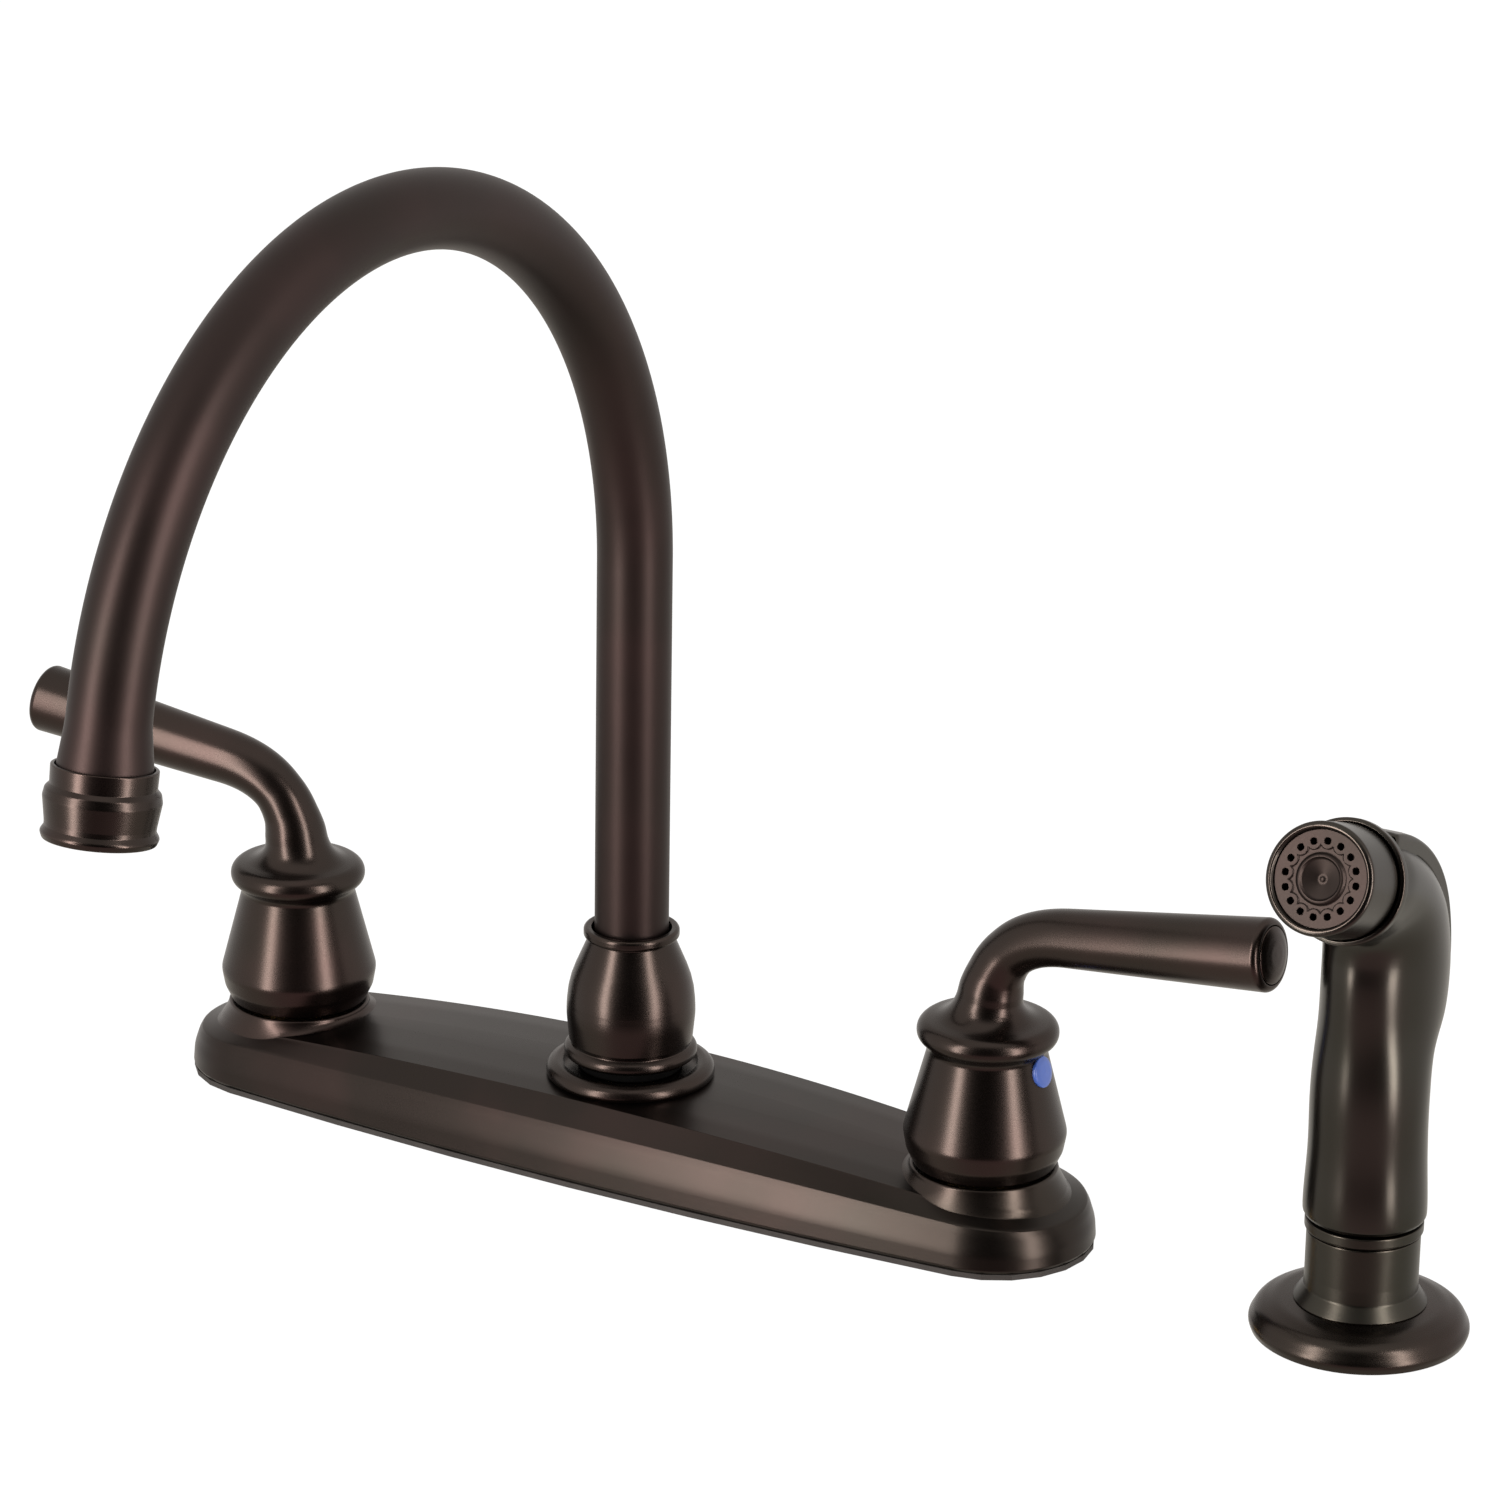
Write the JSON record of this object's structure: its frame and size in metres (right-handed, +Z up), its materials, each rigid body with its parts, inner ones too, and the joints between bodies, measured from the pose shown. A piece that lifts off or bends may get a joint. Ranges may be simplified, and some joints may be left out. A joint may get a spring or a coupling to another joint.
{
  "type": "kitchen faucet",
  "caption": "Deck mounted kitchen faucet in dark bronze: crowned deck plate, two lever handles, high arc swivel spout and a lift-out side sprayer with thumb trigger.",
  "frame": {"origin": "on the deck face, on the axis that the spout swings about", "axes": "+Z up from the deck, +X along the plate towards the cold handle and the sprayer, -Y towards the spout's mouth"},
  "size_m": [0.4081, 0.263, 0.3332],
  "materials": {
    "bronze": "oil rubbed bronze, satin",
    "bronze_moulding": "bronze coated moulding, satin",
    "brass": "machined",
    "copper": "drawn copper tube",
    "steel": "plain",
    "grey_plastic": "moulded",
    "black_plastic": "moulded",
    "rubber": "matt",
    "blue_plastic": "satin",
    "red_plastic": "satin"
  },
  "bodies": {
    "base": {"deck_gasket": "rubber", "deck_plate": "bronze", "spout_base_ring": "bronze", "spout_post": "brass", "diverter_cage": "grey_plastic", "diverter_spring": "steel", "hot_valve_body": "brass", "hot_feed_tube": "copper", "hot_cartridge": "grey_plastic", "hot_bonnet_nut": "brass", "hot_shank_washer": "steel", "hot_shank_nut": "black_plastic", "cold_valve_body": "brass", "cold_feed_tube": "copper", "cold_cartridge": "grey_plastic", "cold_bonnet_nut": "brass", "cold_shank_washer": "steel", "cold_shank_nut": "black_plastic", "sprayer_escutcheon": "bronze_moulding", "sprayer_guide": "bronze_moulding", "sprayer_guide_washer": "rubber", "sprayer_guide_nut": "black_plastic"},
    "spout": {"spout_hub": "bronze", "spout_tube": "bronze", "spout_glide_ring": "black_plastic", "spout_o_ring_lower": "rubber", "spout_o_ring_upper": "rubber", "aerator_housing": "bronze", "aerator_insert": "grey_plastic", "aerator_washer": "rubber"},
    "hot_handle": {"hot_handle": "bronze", "hot_handle_cap": "bronze", "hot_index_button": "red_plastic", "hot_set_screw": "steel", "hot_stem": "brass"},
    "cold_handle": {"cold_handle": "bronze", "cold_handle_cap": "bronze", "cold_index_button": "blue_plastic", "cold_set_screw": "steel", "cold_stem": "brass"},
    "diverter": {"diverter_piston": "black_plastic"},
    "sprayer": {"sprayer_handle": "bronze_moulding", "sprayer_ferrule": "bronze_moulding", "sprayer_hose_connector": "grey_plastic", "sprayer_nozzle_ring": "bronze_moulding", "sprayer_face": "bronze_moulding", "sprayer_trigger_pin": "steel", "sprayer_plunger_spring": "steel"},
    "trigger": {"sprayer_trigger": "bronze_moulding"},
    "plunger": {"sprayer_plunger": "grey_plastic"}
  },
  "joints": [
    {"name": "spout_swing", "type": "hinge", "parent": "base", "child": "spout", "pos_m": [0, 0, 0.04], "axis": [0, 0, 1], "range_deg": [-120, 120]},
    {"name": "hot_turn", "type": "hinge", "parent": "base", "child": "hot_handle", "pos_m": [-0.1016, 0, 0.04], "axis": [0, 0, 1], "range_deg": [0, 90]},
    {"name": "cold_turn", "type": "hinge", "parent": "base", "child": "cold_handle", "pos_m": [0.1016, 0, 0.04], "axis": [0, 0, 1], "range_deg": [-90, 0]},
    {"name": "sprayer_lift", "type": "slide", "parent": "base", "child": "sprayer", "axis": [0, 0, 1], "range_m": [0, 0.1]},
    {"name": "trigger_press", "type": "hinge", "parent": "sprayer", "child": "trigger", "pos_m": [0.2032, -0.00245, 0.12348], "axis": [-1, 0, 0], "range_deg": [0, 5], "stiffness_Nm_per_rad": 0.6, "springref_deg": -3.44},
    {"name": "plunger_push", "type": "slide", "parent": "sprayer", "child": "plunger", "axis": [0, -1, 0], "range_m": [0, 0.0028], "deforming": ["sprayer_plunger_spring"]},
    {"name": "diverter_drop", "type": "slide", "parent": "base", "child": "diverter", "axis": [0, 0, -1], "range_m": [0, 0.0026], "deforming": ["diverter_spring"]}
  ],
  "couplings": [
    {"joint": "plunger_push", "follows": "trigger_press", "m_per_rad": 0.0305},
    {"joint": "diverter_drop", "follows": "trigger_press", "m_per_rad": 0.0286}
  ]
}
